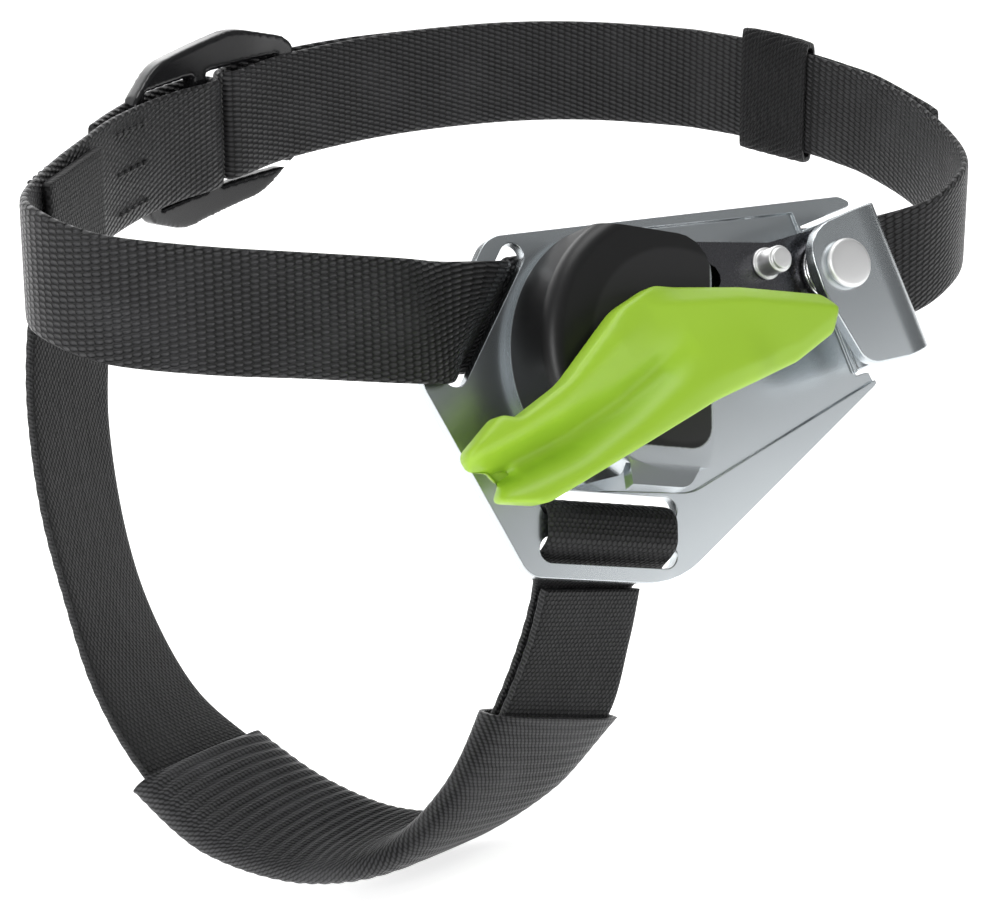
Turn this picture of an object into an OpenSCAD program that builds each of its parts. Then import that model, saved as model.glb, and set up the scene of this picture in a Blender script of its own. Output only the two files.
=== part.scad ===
// Foot ascender: a rope clamp that is strapped to a boot.
// A pressed frame plate carries a curved rope channel and a folded ear. A sprung toothed cam,
// worked by a moulded lever, turns on a rivet between plate and ear and grips the rope against
// the channel's curved wall. An ankle strap and a sole strap hold the plate to the boot.
// Frame of the whole part: +Z is up along the leg, +X is to the viewer's right, -Y is outward.
// The frame plate's own axes are x (right), y (up the rope channel) and z (outward); to_world()
// and place() carry them into the frame of the whole part. The cam's axis is the plate's z axis.

/* [Frame plate] */
// Thickness of the pressed sheet
sheet_t = 2.5; // [2:0.1:3]
// Clear depth between the plate and the channel's face
channel_d = 13; // [12:0.5:14]
// Outer radius of the channel's curved wall
wall_r = 24; // [23:0.5:25]
// Depth of the pressed panel behind the cam
panel_d = 0.8; // [0.4:0.1:1]
// Width of the webbing slots
slot_w = 4.4; // [4:0.1:4.8]

/* [Cam] */
// Radius of the cam rivet's shaft
rivet_r = 3; // [2.8:0.1:3.2]
// Radial clearance between rivet and bushing
running_gap = 0.05; // [0.02:0.01:0.1]
// Height of the cam's underside above the plate
cam_z = 3; // [2.9:0.1:3.2]
// Thickness of the cam
cam_t = 7; // [6.8:0.1:7]
// Height of the teeth
tooth_h = 1.2; // [0.8:0.1:1.4]

/* [Lever] */
// Height of the lever's underside above the plate
lever_z = 17; // [16.8:0.1:17.5]
// Thickness of the lever
lever_t = 6; // [5:0.5:7]

/* [Webbing] */
// Width of the ankle webbing
ankle_w = 20; // [19:0.5:21]
// Thickness of one layer of webbing
web_t = 1.6; // [1.4:0.1:1.8]

/* [Placement] */
// Backward lean of the plate
lean = 21; // [21:1:21]
// Roll of the plate in its own plane
roll = -11; // [-11:1:-11]

/* [Hidden] */
$fn = 64;
pivot = [57, -50, -8];
ear_angle = 24.8;          // direction in which the folded ear faces outward
fold_x = 5.6;              // distance from the pivot to the start of the fold
fold_r = channel_d / 2 + sheet_t;
face_z = channel_d + sheet_t;
wall_c = [-33, -17];       // centre of the channel's round wall
bend_r = 3;
cam_top = cam_z + cam_t;
slot_r = slot_w / 2;
hub_r = 7.5;
bushing_r = 4.3;

// Turns a vector from the plate's axes into those of the whole part.
function roll_v(p) = [p.x * cos(roll) - p.y * sin(roll), p.x * sin(roll) + p.y * cos(roll), p.z];
function lean_v(p) = [p.x, p.y * sin(lean) - p.z * cos(lean), p.y * cos(lean) + p.z * sin(lean)];
function turn(p) = lean_v(roll_v(p));
function to_world(p) = pivot + turn(p);
// Turns a point of the ear's axes into the plate's axes.
function ear(p) = [p.x * cos(ear_angle) - p.y * sin(ear_angle), p.x * sin(ear_angle) + p.y * cos(ear_angle)];

module place() {
    translate(pivot) rotate([90 - lean, 0, 0]) rotate([0, 0, roll]) children();
}

// Points of an outline whose corners [x, y, r] are rounded, six points to a corner.
function unit(v) = v / norm(v);
function corner(a, b, c) =
    let (u = unit([a.x - b.x, a.y - b.y]), v = unit([c.x - b.x, c.y - b.y]),
         half = acos(u * v) / 2, r = b[2], m = b[2] / sin(half),
         o = [b.x, b.y] + unit(u + v) * m,
         s = [b.x, b.y] + u * r / tan(half) - o, e = [b.x, b.y] + v * r / tan(half) - o)
    r == 0 ? [[b.x, b.y]] : [for (i = [0:5]) o + r * unit(s * (5 - i) + e * i)];
function rounded(p) = [for (i = [0:len(p) - 1])
    each corner(p[(i + len(p) - 1) % len(p)], p[i], p[(i + 1) % len(p)])];

// Smooth curve through rows of numbers, n steps to a span.
function blend(a, b, c, d, t) = 0.5 * (2 * b + (c - a) * t + (2 * a - 5 * b + 4 * c - d) * t * t
                                       + (3 * b - a - 3 * c + d) * t * t * t);
function smooth(p, n) = [for (i = [0:len(p) - 2], k = [0:n - 1])
    blend(p[max(i - 1, 0)], p[i], p[i + 1], p[min(i + 2, len(p) - 1)], k / n), p[len(p) - 1]];

// A strap through rows [centre x, y, z, width vector x, y, z]. It is t thick, and shift moves it
// along its own thickness.
function centre(r) = [r[0], r[1], r[2]];
function across(r) = [r[3], r[4], r[5]];
function ring(q, i, t, shift) =
    let (along = centre(q[min(i + 1, len(q) - 1)]) - centre(q[max(i - 1, 0)]),
         n = unit(cross(along, across(q[i]))), c = centre(q[i]) + n * shift, w = across(q[i]) / 2)
    [c - w - n * t / 2, c + w - n * t / 2, c + w + n * t / 2, c - w + n * t / 2];
module strap(rows, t = web_t, shift = 0, n = 4) {
    q = smooth(rows, n);
    m = len(q);
    pts = [for (i = [0:m - 1]) each ring(q, i, t, shift)];
    sides = [for (i = [0:m - 2], k = [0:3]) [4 * i + 4 + k, 4 * i + 4 + (k + 1) % 4, 4 * i + (k + 1) % 4, 4 * i + k]];
    polyhedron(pts, concat([[0, 1, 2, 3]], sides, [[4 * m - 1, 4 * m - 2, 4 * m - 3, 4 * m - 4]]));
}
// A row from its centre and its full width vector
function row(p, w) = concat(p, w);

module slot_cut(a, b) {
    dir = atan2(b.y - a.y, b.x - a.x);
    translate([0, 0, -6]) linear_extrude(12) polygon(concat(
        [for (t = [-90:10:90]) b + slot_r * [cos(dir + t), sin(dir + t)]],
        [for (t = [90:10:270]) a + slot_r * [cos(dir + t), sin(dir + t)]]));
}

// ---- Frame plate ----
// One pressed sheet: the flat plate, the raised channel and the folded ear are separate solids that meet.
plate_outline = [[-60.4, 1.4, 5], [-72, -24, 3], [-52.4, -54.5, 4], [-24.6, -54.5, 16],
                 [22.6, -11.9, 1.5], concat(ear([fold_x, -19.6]), 0), concat(ear([fold_x, 8.8]), 0),
                 concat(ear([16.5, 8.8]), 0), [12.6, 15.9, 0.6], [9.6, 16.8, 3]];
panel_outline = [[-47, 2.9, 0], [-45, -39.8, 0], [-21.5, -38.8, 8], concat(ear([14, -21]), 0),
                 concat(ear([5, -19]), 0), concat(ear([5, 11.5]), 0), [-38, 4.8, 0]];
face_outline = [[-62, 2.4, 0], [-62, -41.4, 0], [-26.8, -41.4, 8], [-26.8, 1.4, 6.5]];
ear_outline = [[fold_x, 8.1, 0], [-5.6, 7.8, 6], [-6.2, -3, 8], [-3.3, -17.4, 4], [fold_x, -18.9, 0]];

module channel_cup() {
    // The wall, its bend and the face, turned as one round cup
    translate([wall_c.x, wall_c.y, 0]) rotate_extrude($fn = 128) polygon(concat(
        [[wall_r, 0], [wall_r, face_z - bend_r]],
        [for (a = [10:10:80]) [wall_r - bend_r + bend_r * cos(a), face_z - bend_r + bend_r * sin(a)]],
        [[wall_r - bend_r, face_z], [0, face_z], [0, channel_d], [wall_r - bend_r, channel_d],
         [wall_r - sheet_t, face_z - bend_r], [wall_r - sheet_t, 0]]));
}
module rope_channel() color([0.12, 0.12, 0.13]) place() {
    difference() {
        intersection() {
            channel_cup();
            translate([0, 0, -2]) linear_extrude(face_z + 4) polygon(rounded(face_outline));
        }
        // The channel's foot is open for the rope
        translate([-43, -44, -2]) cube([30, 22, channel_d + 2]);
        translate([-43, -44, channel_d - 0.5]) cube([30, 7, 6]);
    }
    // Flared lip under the face
    translate([-43, -36.9, channel_d]) rotate([-14, 0, 0])
        linear_extrude(sheet_t) polygon(rounded([[0.6, 0.6, 0], [0.6, -4.4, 0], [11.2, -4.4, 3.5], [14.4, 0.6, 0]]));
}
module folded_ear() color([0.72, 0.75, 0.77]) place() rotate([0, 0, ear_angle]) {
    translate([fold_x, -18.9, channel_d / 2]) rotate([-90, 0, 0]) intersection() {
        difference() {
            cylinder(r = fold_r, h = 27);
            translate([0, 0, -1]) cylinder(r = channel_d / 2, h = 29);
        }
        translate([0, -20, 0]) cube([20, 40, 27]);
    }
    difference() {
        translate([0, 0, channel_d]) linear_extrude(sheet_t) polygon(rounded(ear_outline));
        translate([0, 0, channel_d - 1]) cylinder(r = rivet_r, h = 6);
    }
}
module frame_plate() color([0.72, 0.75, 0.77]) place() difference() {
    translate([0, 0, -sheet_t]) linear_extrude(sheet_t) polygon(rounded(plate_outline));
    difference() {
        translate([0, 0, -panel_d]) linear_extrude(2) polygon(rounded(panel_outline));
        translate([wall_c.x - 30, wall_c.y - 30, -2]) difference() {
            cube([30 - 6, 60, 4]);
            translate([30, 30, -1]) cylinder(r = wall_r - 1, h = 6, $fn = 128);
        }
    }
    translate([0, 0, -6]) cylinder(r = rivet_r, h = 12);
    slot_cut([-55.8, -1.4], [-65.9, -22]);
    slot_cut([-48.3, -42], [-26.8, -42]);
    slot_cut([-48.3, -49.7], [-26.8, -49.7]);
    // Drain hole at the channel's foot
    translate([-24, -32, -6]) cylinder(r = 5, h = 12);
}

// ---- Cam and what turns with it ----
// Distance from the pivot to the channel wall's inner surface, in direction a
function wall_at(a) =
    let (d = norm(wall_c), g = a - atan2(wall_c.y, wall_c.x))
    d * cos(g) + sqrt(pow(wall_r - sheet_t, 2) - pow(d * sin(g), 2));
function polar(r, a) = r * [cos(a), sin(a)];
// The nose follows the wall, and stays inside the wall's lower end as the cam opens
nose_gap = 2.4;
nose_max = 53;
function nose_at(a) = polar(min(wall_at(a) - nose_gap, nose_max), a);
module cam_outline() {
    circle(r = hub_r);
    polygon(concat([[0, hub_r], [-5, 6.2], [-12, 3.6], [-27, 2], [-41, 0.6]], [for (a = [183:3:213]) nose_at(a)],
                   [[-30, -23.5], [-12, -13.5], [0, -hub_r]]));
}
// Three rows of teeth across the nose
module teeth() for (a = [186:2:212], k = [0:2])
    translate([nose_at(a).x, nose_at(a).y, cam_z + 1.2 + k * 2.3]) rotate([0, -90, a + 180])
        translate([0, 0, -0.6]) cylinder(r1 = 0.95, r2 = 0.3, h = tooth_h + 0.6, $fn = 16);
module cam() color([0.3, 0.31, 0.33]) place() {
    difference() {
        translate([0, 0, cam_z]) linear_extrude(cam_t) cam_outline();
        translate([0, 0, cam_z - 1]) cylinder(r = bushing_r, h = cam_t + 2);
        // Lightening pocket behind the nose
        translate([0, 0, cam_z + 2]) linear_extrude(cam_t)
            polygon(rounded([[-20.4, -1, 2.5], [-41, -3, 2], [-44, -14, 3], [-40, -23, 3], [-24.5, -12.5, 3]]));
        translate([-12.6, -0.2, cam_z + 3]) cylinder(r = 2, h = cam_t);
        for (p = screw_at)
            translate([p.x, p.y, cam_z - 1]) {
                cylinder(r = 1.6, h = cam_t + 2);
                cylinder(r = 2.8, h = 3.2);
            }
    }
    // Boss that lifts the lever clear of the channel's face
    difference() {
        translate([0, 0, cam_top]) linear_extrude(lever_z - cam_top)
            polygon(rounded([[-8.2, -6.4, 3], [-22.8, -8.2, 3], [-21.6, -17.2, 3], [-9.6, -13.6, 3]]));
        for (p = screw_at) translate([p.x, p.y, cam_top - 1]) cylinder(r = 1.6, h = 10);
    }
    teeth();
}
screw_at = [[-12.2, -10], [-18.8, -12.4]];
module cam_bushing() color([0.72, 0.55, 0.3]) place() difference() {
    translate([0, 0, cam_z]) cylinder(r = bushing_r, h = cam_t);
    translate([0, 0, cam_z - 1]) cylinder(r = rivet_r + running_gap, h = cam_t + 2);
}
module cam_rivet() color([0.86, 0.86, 0.86]) place() {
    translate([0, 0, -sheet_t]) cylinder(r = rivet_r, h = face_z + sheet_t);
    translate([0, 0, face_z]) cylinder(r = 3.9, h = 1.6);
    translate([0, 0, -sheet_t - 1.2]) cylinder(r = 4.2, h = 1.2);
}
module cam_washer() color([0.6, 0.6, 0.6]) place() difference() {
    translate([0, 0, -panel_d]) cylinder(r = 4.8, h = cam_z - 0.3 + panel_d);
    translate([0, 0, -1]) cylinder(r = rivet_r, h = 4);
}
module cam_stud() color([0.8, 0.8, 0.8]) place() translate([-12.6, -0.2, 0]) {
    translate([0, 0, cam_z + 3]) cylinder(r = 2, h = cam_top - cam_z - 3);
    translate([0, 0, cam_top]) cylinder(r = 2.8, h = 0.6);
    translate([0, 0, cam_top + 0.6]) cylinder(r = 2.3, h = 4);
    translate([0, 0, cam_top + 4.6]) cylinder(r = 1.8, h = 0.7);
}
// Spring round the rivet, between cam and ear: two flat turns joined at one side
module cam_spring() color([0.5, 0.5, 0.52]) place() {
    for (z = [0.2, 1.7]) translate([0, 0, cam_top + z]) difference() {
        cylinder(r = 5.7, h = 0.9);
        translate([0, 0, -1]) cylinder(r = 4.8, h = 3);
    }
    translate([4.9, -0.5, cam_top + 0.2]) cube([0.7, 1, 2.4]);
}
lever_outline = [[-7.2, -6.3, 1.5], [-42, -9, 9], [-60, -28, 6], [-66, -33, 2], [-72.8, -38.2, 1.2], [-71.6, -40.6, 0.8],
                 [-67.6, -40.2, 1.5], [-66.4, -42, 1.5], [-67.2, -45.4, 1], [-59.5, -45.2, 5], [-43, -35, 20],
                 [-30, -26.5, 10], [-14, -18.6, 6], [-5.8, -13.2, 2], [-5.2, -8.6, 1.5]];
module lever() color([0.65, 0.79, 0.27]) place() {
    difference() {
        translate([0, 0, lever_z]) linear_extrude(lever_t) polygon(rounded(lever_outline));
        for (p = screw_at) translate([p.x, p.y, lever_z - 1]) cylinder(r = 1.5, h = 4.5);
    }
    // Tab that runs down outside the channel's wall
    translate([0, 0, 5]) linear_extrude(lever_z - 5)
        polygon(rounded([[-62.4, -31.4, 1.5], [-68.2, -37.4, 2], [-66.6, -40, 1.5], [-62, -40, 2], [-55.8, -33.6, 1.5]]));
}
module lever_screws() color([0.6, 0.6, 0.62]) place() for (p = screw_at) translate([p.x, p.y, 0]) {
    translate([0, 0, cam_z + 0.4]) cylinder(r = 2.6, h = 1.8);
    translate([0, 0, cam_z + 2.2]) cylinder(r = 1.5, h = lever_z + 3 - cam_z - 2.2);
}

// ---- Webbing ----
// Rows behind and through the plate are stated in the plate's axes.
function plate_row(p, w) = row(to_world(p), turn(w));
slant = [9.9, 20.1, 0];
level = [-3.7, 19.5, 0];
upright = [0, 0, ankle_w];
front_rows = [row([-62.6, -10.5, 7.2], upright), row([-68, -17.7, 5.7], upright), row([-72.4, -24.4, 4.4], upright),
              row([-75, -31, 3.7], upright), row([-75.2, -37, 2.9], upright), row([-72, -42.6, 1], upright),
              row([-66, -47, -0.8], upright), row([-53, -51.6, -2.6], upright), row([-38, -53.6, -4.4], upright),
              row([-22, -54.2, -6.6], [0, 1.6, 20]),
              plate_row([-69.5, -14.4, 2.6], [-1.8, 19.9, 0]), plate_row([-65, -13.4, 1.6], [3.6, 20, 0]),
              plate_row([-62.2, -12.4, 0.2], slant), plate_row([-60, -11.6, -2.6], slant),
              plate_row([-57, -10.8, -4.2], [3.6, 20, 0])];
// The keeper rides on a stretch of webbing that follows an arc about this axis.
arc_c = [45.3, -25.3, -2.2];
arc_axis = unit([-0.1, -0.34, 0.935]);
keeper_at = [96.3, 13.6, 17.3];
function about(p, a) =
    let (v = p - arc_c, k = arc_axis)
    arc_c + v * cos(a) + cross(k, v) * sin(a) + k * (k * v) * (1 - cos(a));
arc_rows = [for (a = [-18:6:18]) row(about(keeper_at, a), upright)];
rear_bend = [row([-16.6, 27.7, 15.9], upright), row([-18.7, 29.2, 15.6], upright), row([-19, 31.6, 15.6], upright),
             row([-17.2, 33.7, 16], upright)];
behind_rows = concat([plate_row([-57, -10.8, -4.2], [3.6, 20, 0]), plate_row([-50, -9.6, -4.5], level),
                      plate_row([-25, -4.6, -4.5], level), plate_row([0, 0.4, -4.5], level),
                      plate_row([14, 3.2, -4.4], level), row([85, -49, -6], upright), row([94, -47, -2.4], upright),
                      row([102, -40, 0.4], upright), row([107.4, -28, 4], upright), row([109, -15, 8.4], upright)],
                     arc_rows,
                     [row([64, 34.4, 21.8], upright), row([45, 38, 22], upright), row([20, 37.6, 20.8], upright),
                      row([-3, 33, 18.4], upright)], rear_bend);
tail_rows = concat([row([108.9, -20, 6.8], upright), row([109, -15, 8.4], upright)], arc_rows,
                   [row([64, 34.4, 21.8], upright), row([45, 38, 22], upright), row([20, 37.8, 20.8], upright),
                    row([8, 37.6, 19.8], upright), row([-5, 36, 18.2], upright), row([-15.6, 33, 16.4], upright)]);
buckle_rows = [row([-62.6, -10.5, 7.2], upright), row([-55.6, -2, 8.9], upright), row([-48.4, 6.4, 10.6], upright),
               row([-38.8, 16.2, 12], upright), row([-30, 22, 13.3], upright), row([-22.6, 25.2, 14.2], upright),
               row([-20.6, 27.8, 14.6], upright), row([-22, 31.2, 14.8], upright), row([-26.4, 31.4, 14.2], upright),
               row([-36, 25.4, 12.6], upright), row([-45, 15, 11.2], upright), row([-52, 5.6, 10], upright)];
module ankle_strap_front() color([0.07, 0.07, 0.08]) strap(front_rows);
module ankle_strap_rear() color([0.07, 0.07, 0.08]) strap(behind_rows);
module strap_tail() color([0.07, 0.07, 0.08]) strap(tail_rows, shift = 1.9);
module buckle_strap() color([0.07, 0.07, 0.08]) strap(buckle_rows);

// Buckle: an arched frame with a middle bar; its own x runs along the webbing and y outward
buckle_at = [-23.4, 29, 14.8];
buckle_r = 80;
buckle_t = 3.2;
buckle_outline = [[-19, 10, 3], [-11, 15, 12], [10, 17.5, 12], [22.5, 13.5, 4],
                  [22.5, -8, 4], [12, -14.8, 12], [-9, -16.5, 12], [-19, -12.5, 3]];
module buckle() color([0.03, 0.03, 0.03]) translate(buckle_at) rotate([0, 0, 24]) rotate([0, -8, 0])
    intersection() {
        translate([0, -buckle_r, -20]) difference() {
            cylinder(r = buckle_r + buckle_t / 2, h = 40, $fn = 256);
            translate([0, 0, -1]) cylinder(r = buckle_r - buckle_t / 2, h = 42, $fn = 256);
        }
        translate([0, 10, 0]) rotate([90, 0, 0]) linear_extrude(20) difference() {
            polygon(rounded(buckle_outline));
            for (x = [-15.6, 1.8]) translate([x, -10.8]) square([x < 0 ? 13.8 : 17, 21.6]);
        }
    }

// Keeper: a flat band round both layers, bent to the strap's own curve
keeper_half = 6;           // half of its angle about the arc
function keeper_rows(h, half) = [for (a = [-half:half / 2:half]) row(about(keeper_at, a), [0, 0, h])];
module strap_keeper() color([0.05, 0.05, 0.05]) difference() {
    strap(keeper_rows(24.6, keeper_half), t = 6.9, shift = 0.95);
    strap(keeper_rows(21.6, keeper_half + 1), t = 4.6, shift = 0.95);
}

// Sole strap: from the junction at the heel side, under the foot and up behind the plate
sole_rows = [row([-61, -11.8, 15.6], [15.5, 19.6, 3]), row([-61, -11.8, 6], [15.5, 19.6, 2]),
             row([-61.8, -12.6, -3], [16.4, 18.4, -4]), row([-64, -15.4, -10.6], [17.6, 16, -8]),
             row([-66.6, -21, -23.6], [17.6, 15.2, -9]), row([-67.4, -28.6, -39], [17.8, 14.2, -10]),
             row([-66.2, -35.8, -52], [18.4, 13.4, -10]), row([-63.2, -44.4, -65], [20.4, 12.6, -7]),
             row([-57.6, -52.6, -74.6], [21.6, 12.4, -1.6]), row([-49, -59.4, -83], [22, 12, 0]),
             row([-36, -63.2, -89.4], [21.4, 12.8, -1]), row([-22, -64, -90.6], [21.4, 12.4, -3.6]),
             row([-8, -61, -86], [22.4, 9.6, -6.4]), row([3, -57.8, -76.4], [23.6, 5.2, -6.6]),
             row([9, -55.4, -65.2], [23.4, 6.4, -5.6]), row([12, -54.2, -56.2], [23.2, 7, -5.6])];
module sole_strap_outer() color([0.07, 0.07, 0.08]) strap(concat(sole_rows, [plate_row([-37.6, -52.4, -5.2], [24.8, 0, 0])]));
module sole_strap_inner() color([0.07, 0.07, 0.08]) strap([for (i = [13:15]) sole_rows[i]], shift = -1.9);
loop_rows = [plate_row([-37.6, -52.2, -5], [24.6, 0, 0]), plate_row([-37.6, -51, -3.4], [24.4, 0, 0]),
             plate_row([-37.6, -49.6, -0.6], [24.4, 0, 0]), plate_row([-37.6, -48, 1.3], [24.4, 0, 0]),
             plate_row([-37.6, -45.8, 1.5], [24.4, 0, 0]), plate_row([-37.6, -43.6, 1.2], [24.4, 0, 0]),
             plate_row([-37.6, -42.1, -0.8], [24.4, 0, 0]), plate_row([-37.6, -42.4, -4.4], [24.4, 0, 0]),
             plate_row([-37.6, -47, -5.6], [24.4, 0, 0])];
module crossbar_loop() color([0.07, 0.07, 0.08]) strap(loop_rows, t = 1.4, n = 6);

// Sleeve: a wide flat tube round the sole strap
sleeve_rows = [for (i = [8:13]) row(centre(sole_rows[i]), across(sole_rows[i]) * 1.18)];
module sole_sleeve() color([0.09, 0.09, 0.1]) difference() {
    strap(sleeve_rows, t = 5.6, shift = -0.6);
    strap(concat([sleeve_rows[0] + (sleeve_rows[0] - sleeve_rows[1]) * 0.3],
                 [for (r = sleeve_rows) row(centre(r), across(r) * 0.94)],
                 [sleeve_rows[5] + (sleeve_rows[5] - sleeve_rows[4]) * 0.3]), t = 4.3, shift = -0.6);
}
// Stitch rows stand on the webbing that they hold; each is a fine raised strip along its rows.
module stitch_rows(rows, ups, out) for (up = ups)
    strap([for (r = rows) row(centre(r) + [0, 0, up], [0, 0, 0.9])], t = 0.5, shift = out);
module junction_stitching() color([0.02, 0.02, 0.02])
    stitch_rows([row([-68, -17.7, 6], upright), row([-62.6, -10.5, 7.4], upright), row([-57, -3.6, 8.8], upright)],
                [-7.5, -2.5, 2.5, 7.5], -2.7);
module buckle_stitching() color([0.02, 0.02, 0.02])
    stitch_rows([for (i = [2:3]) buckle_rows[i]], [-7, 0, 7], 1.35);
module tail_stitching() color([0.02, 0.02, 0.02])
    stitch_rows([row([108.9, -19, 7.2], upright), row([109, -15, 8.4], upright)], [-6, 0, 6], 3.1);

frame_plate();
rope_channel();
folded_ear();
cam();
cam_bushing();
cam_rivet();
cam_washer();
cam_spring();
cam_stud();
lever();
lever_screws();
ankle_strap_front();
ankle_strap_rear();
strap_tail();
buckle_strap();
buckle();
strap_keeper();
sole_strap_outer();
sole_strap_inner();
crossbar_loop();
sole_sleeve();
junction_stitching();
buckle_stitching();
tail_stitching();
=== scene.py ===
"""Looks of the foot ascender: a rope clamp worn on a boot.

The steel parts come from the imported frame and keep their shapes. The webbing, the lever, the
keeper, the sleeve, the buckle and the small turned parts are built here, in metres, over the CAD
solids that they stand for. Working sizes are in millimetres and are turned into metres by MM.
"""
import math

import bmesh
import bpy
import numpy as np
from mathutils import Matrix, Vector
from mathutils.geometry import delaunay_2d_cdt


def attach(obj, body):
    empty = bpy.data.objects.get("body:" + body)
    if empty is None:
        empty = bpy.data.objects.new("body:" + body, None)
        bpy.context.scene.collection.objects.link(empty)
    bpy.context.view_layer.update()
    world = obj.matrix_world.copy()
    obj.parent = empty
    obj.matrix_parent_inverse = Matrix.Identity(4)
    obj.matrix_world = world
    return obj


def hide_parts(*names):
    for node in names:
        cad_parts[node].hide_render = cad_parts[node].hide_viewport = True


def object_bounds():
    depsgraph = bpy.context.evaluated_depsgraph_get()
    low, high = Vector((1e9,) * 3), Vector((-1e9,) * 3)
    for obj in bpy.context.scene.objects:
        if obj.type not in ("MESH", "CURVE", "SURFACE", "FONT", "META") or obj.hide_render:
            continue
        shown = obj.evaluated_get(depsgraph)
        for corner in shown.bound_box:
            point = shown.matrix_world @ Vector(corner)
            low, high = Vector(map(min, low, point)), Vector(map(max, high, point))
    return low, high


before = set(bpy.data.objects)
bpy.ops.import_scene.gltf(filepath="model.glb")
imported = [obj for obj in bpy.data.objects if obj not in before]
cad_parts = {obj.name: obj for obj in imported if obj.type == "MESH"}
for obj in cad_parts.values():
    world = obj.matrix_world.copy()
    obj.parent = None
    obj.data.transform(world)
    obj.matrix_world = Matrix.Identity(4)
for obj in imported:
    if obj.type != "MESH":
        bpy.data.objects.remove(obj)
cad_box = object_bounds()

MM = 0.001
FRAME = "frame"
CAM = "cam_lever"
KEEPER = "keeper"

# ---- Places, in millimetres, as in the part's source ----
# The plate's axes start at the cam's pivot; LEAN and ROLL turn them into the whole part's axes
PIVOT = np.array([57.0, -50.0, -8.0])
LEAN = math.radians(21)
ROLL = math.radians(-11)
WALL_C = np.array([-33.0, -17.0])
FACE_Z = 15.5
LEVER_Z = 17.0
CAM_TOP = 10.0
STUD = (-12.6, -0.2)
ANKLE_W = 20.0
WEB_T = 1.6
ARC_C = np.array([45.3, -25.3, -2.2])
ARC_AXIS = np.array([-0.1, -0.34, 0.935]) / np.linalg.norm([-0.1, -0.34, 0.935])
KEEPER_AT = np.array([96.3, 13.6, 17.3])
UP = [0, 0, ANKLE_W]


def turn(p):
    """A vector in the plate's axes, turned into the axes of the whole part."""
    p = np.asarray(p, float)
    x = p[..., 0] * math.cos(ROLL) - p[..., 1] * math.sin(ROLL)
    y = p[..., 0] * math.sin(ROLL) + p[..., 1] * math.cos(ROLL)
    z = p[..., 2]
    return np.stack([x, y * math.sin(LEAN) - z * math.cos(LEAN), y * math.cos(LEAN) + z * math.sin(LEAN)], -1)


def to_world(p):
    """A point in the plate's axes, as a point of the whole part."""
    return PIVOT + turn(p)


def row(p, w):
    """One row of a webbing route: its centre, and the vector across its full width."""
    return list(p) + list(w)


def plate_row(p, w):
    """A row given in the plate's axes."""
    return row(to_world(p), turn(w))


def about(p, degrees):
    """A point turned about the keeper's axis."""
    v, a = np.asarray(p, float) - ARC_C, math.radians(degrees)
    across = np.cross(ARC_AXIS, v)
    return ARC_C + v * math.cos(a) + across * math.sin(a) + ARC_AXIS * (ARC_AXIS @ v) * (1 - math.cos(a))


# ---- Routes of the webbing: centre and full width vector of each row ----
SLANT = [9.9, 20.1, 0]
LEVEL = [-3.7, 19.5, 0]
front_rows = [
    row([-62.6, -10.5, 7.2], UP), row([-68, -17.7, 5.7], UP), row([-72.4, -24.4, 4.4], UP),
    row([-75, -31, 3.7], UP), row([-75.2, -37, 2.9], UP), row([-72, -42.6, 1], UP),
    row([-66, -47, -0.8], UP), row([-53, -51.6, -2.6], UP), row([-38, -53.6, -4.4], UP),
    row([-22, -54.2, -6.6], [0, 1.6, 20]),
    plate_row([-69.5, -14.4, 2.6], [-1.8, 19.9, 0]), plate_row([-65, -13.4, 1.6], [3.6, 20, 0]),
    plate_row([-62.2, -12.4, 0.2], SLANT), plate_row([-60, -11.6, -2.6], SLANT),
    plate_row([-57, -10.8, -4.2], [3.6, 20, 0])]
arc_rows = [row(about(KEEPER_AT, a), UP) for a in range(-18, 19, 6)]
rear_rows = [
    plate_row([-57, -10.8, -4.2], [3.6, 20, 0]), plate_row([-50, -9.6, -4.5], LEVEL),
    plate_row([-25, -4.6, -4.5], LEVEL), plate_row([0, 0.4, -4.5], LEVEL),
    plate_row([14, 3.2, -4.4], LEVEL), row([85, -49, -6], UP), row([94, -47, -2.4], UP),
    row([102, -40, 0.4], UP), row([107.4, -28, 4], UP), row([109, -15, 8.4], UP), *arc_rows,
    row([64, 34.4, 21.8], UP), row([45, 38, 22], UP), row([20, 37.6, 20.8], UP), row([-3, 33, 18.4], UP),
    row([-16.6, 27.7, 15.9], UP), row([-18.7, 29.2, 15.6], UP), row([-19, 31.6, 15.6], UP),
    row([-17.2, 33.7, 16], UP)]
tail_rows = [
    row([108.9, -20, 6.8], UP), row([109, -15, 8.4], UP), *arc_rows,
    row([64, 34.4, 21.8], UP), row([45, 38, 22], UP), row([20, 37.8, 20.8], UP),
    row([8, 37.6, 19.8], UP), row([-5, 36, 18.2], UP), row([-15.6, 33, 16.4], UP)]
buckle_rows = [
    row([-62.6, -10.5, 7.2], UP), row([-55.6, -2, 8.9], UP), row([-48.4, 6.4, 10.6], UP),
    row([-38.8, 16.2, 12], UP), row([-30, 22, 13.3], UP), row([-22.6, 25.2, 14.2], UP),
    row([-20.6, 27.8, 14.6], UP), row([-22, 31.2, 14.8], UP), row([-26.4, 31.4, 14.2], UP),
    row([-36, 25.4, 12.6], UP), row([-45, 15, 11.2], UP), row([-52, 5.6, 10], UP)]
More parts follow.
